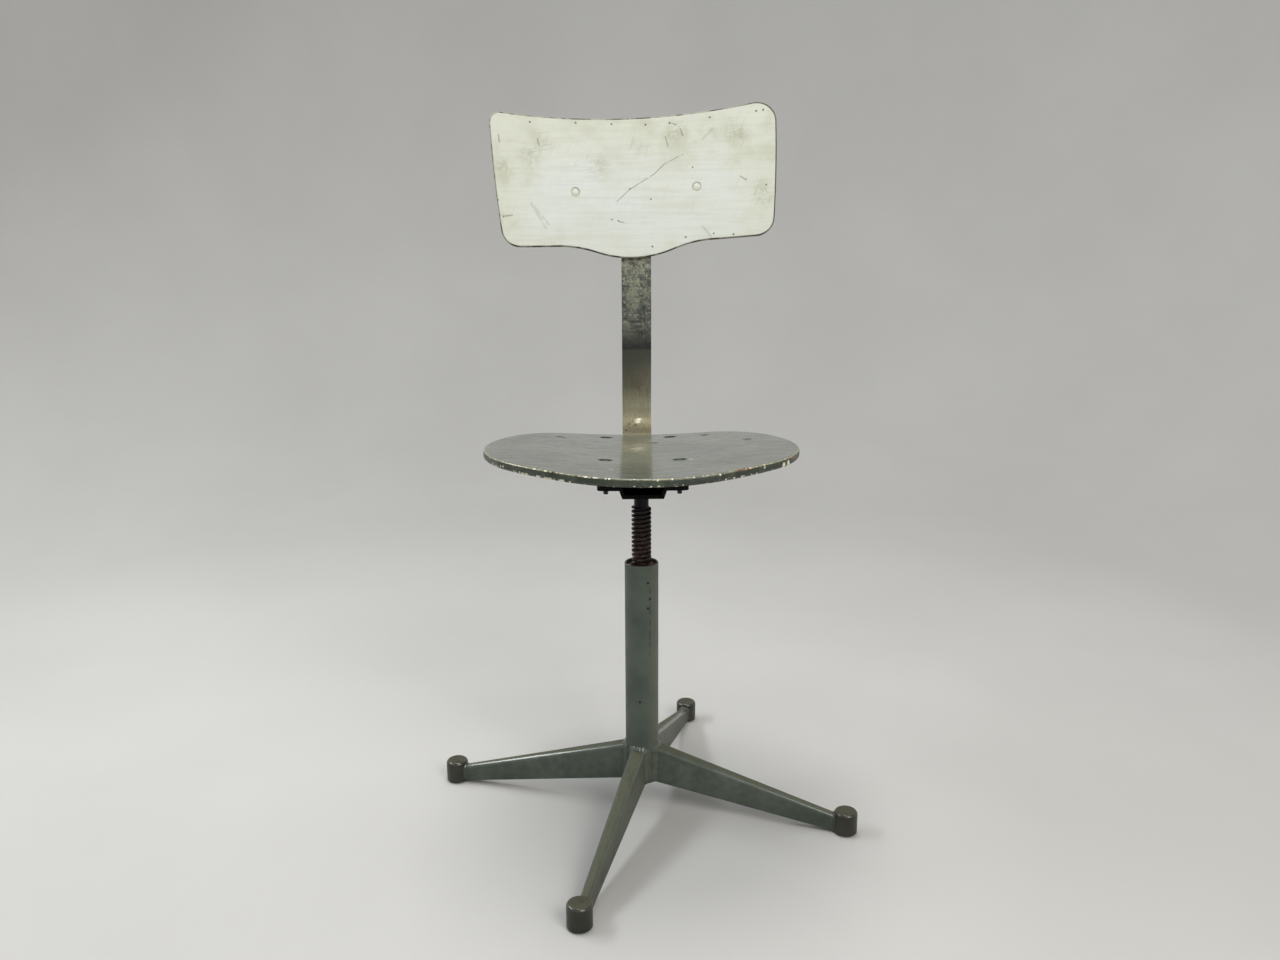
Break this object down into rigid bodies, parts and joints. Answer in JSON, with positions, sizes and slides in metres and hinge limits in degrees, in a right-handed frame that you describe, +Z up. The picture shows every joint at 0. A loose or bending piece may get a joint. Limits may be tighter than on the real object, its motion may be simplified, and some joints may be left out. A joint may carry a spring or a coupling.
{
  "type": "swivel work chair",
  "caption": "Work chair with a plywood seat on a screw spindle that swivels and sets the height, and a curved plywood backrest on a bent steel strip.",
  "frame": {"origin": "on the floor under the swivel axis, midway between the feet", "axes": "+Z up along the swivel axis, -Y the way the sitter faces, +X to the sitter's left"},
  "size_m": [0.4802, 0.4802, 0.8126],
  "materials": {
    "frame_paint": "satin grey-green paint with small chips",
    "foot_paint": "dark worn paint",
    "glide_rubber": "matte",
    "bronze": "tarnished",
    "spindle_steel": "dark oily steel, rusty in the thread",
    "steel": "dull",
    "bracket_paint": "black paint",
    "packing_wood": "dark stain",
    "seat_paint": "glossy grey-green paint, chipped at the edge",
    "seat_bolt_paint": "painted over",
    "strip_steel": "polished and tarnished",
    "crossbar_steel": "tarnished",
    "backrest_paint": "worn cream paint",
    "backrest_bolt_paint": "painted over"
  },
  "bodies": {
    "base": {"column_tube": "frame_paint", "spindle_nut": "bronze", "leg_front": "frame_paint", "foot_front": "foot_paint", "glide_front": "glide_rubber", "leg_right": "frame_paint", "foot_right": "foot_paint", "glide_right": "glide_rubber", "leg_rear": "frame_paint", "foot_rear": "foot_paint", "glide_rear": "glide_rubber", "leg_left": "frame_paint", "foot_left": "foot_paint", "glide_left": "glide_rubber"},
    "guide": {"guide_bush": "bronze"},
    "seat_unit": {"spindle": "spindle_steel", "stop_washer": "steel", "stop_bolt": "steel", "seat_bracket": "bracket_paint", "packing_left": "packing_wood", "packing_right": "packing_wood", "seat": "seat_paint", "seat_bolts": "seat_bolt_paint", "back_strip": "strip_steel", "strip_bolts": "steel", "strip_washers": "steel", "strip_nuts": "steel", "backrest": "backrest_paint", "crossbar": "crossbar_steel", "strip_rivets": "steel", "backrest_bolts": "backrest_bolt_paint", "backrest_washers": "steel", "backrest_nuts": "steel"}
  },
  "joints": [
    {"name": "seat_height", "type": "slide", "parent": "base", "child": "guide", "axis": [0, 0, 1], "range_m": [-0.085, 0.11]},
    {"name": "seat_swivel", "type": "hinge", "parent": "guide", "child": "seat_unit", "pos_m": [0, 0, 0.3], "axis": [0, 0, 1], "range_deg": [-6120, 7920]}
  ],
  "couplings": [
    {"joint": "seat_height", "follows": "seat_swivel", "m_per_rad": 0.00079577}
  ]
}
